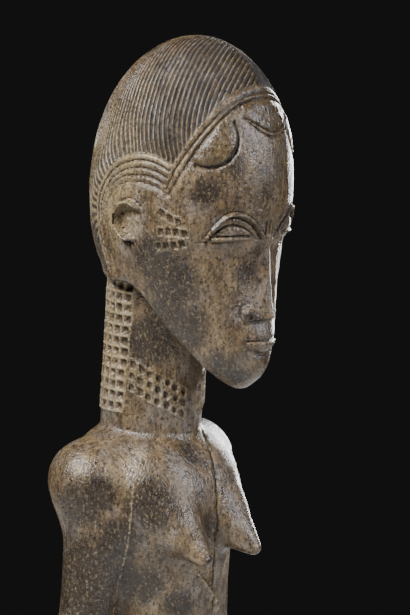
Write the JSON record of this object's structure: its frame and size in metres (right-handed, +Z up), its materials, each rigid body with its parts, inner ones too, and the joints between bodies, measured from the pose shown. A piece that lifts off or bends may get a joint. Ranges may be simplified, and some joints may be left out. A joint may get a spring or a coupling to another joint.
{
  "type": "carved wooden standing figure",
  "caption": "Carved wooden standing female figure with a tall grooved hairstyle, raised scar marks and a long neck, on a low round base.",
  "frame": {"origin": "centre of the base's flat underside", "axes": "+Z up along the standing figure; the figure faces -Y and its right hand is on -X"},
  "size_m": [0.086, 0.0954, 0.44],
  "materials": {
    "aged_wood": "worn dark patina, satin on the high parts, dull and crusted in the recesses"
  },
  "bodies": {
    "root": {"figure": "aged_wood"}
  },
  "joints": []
}
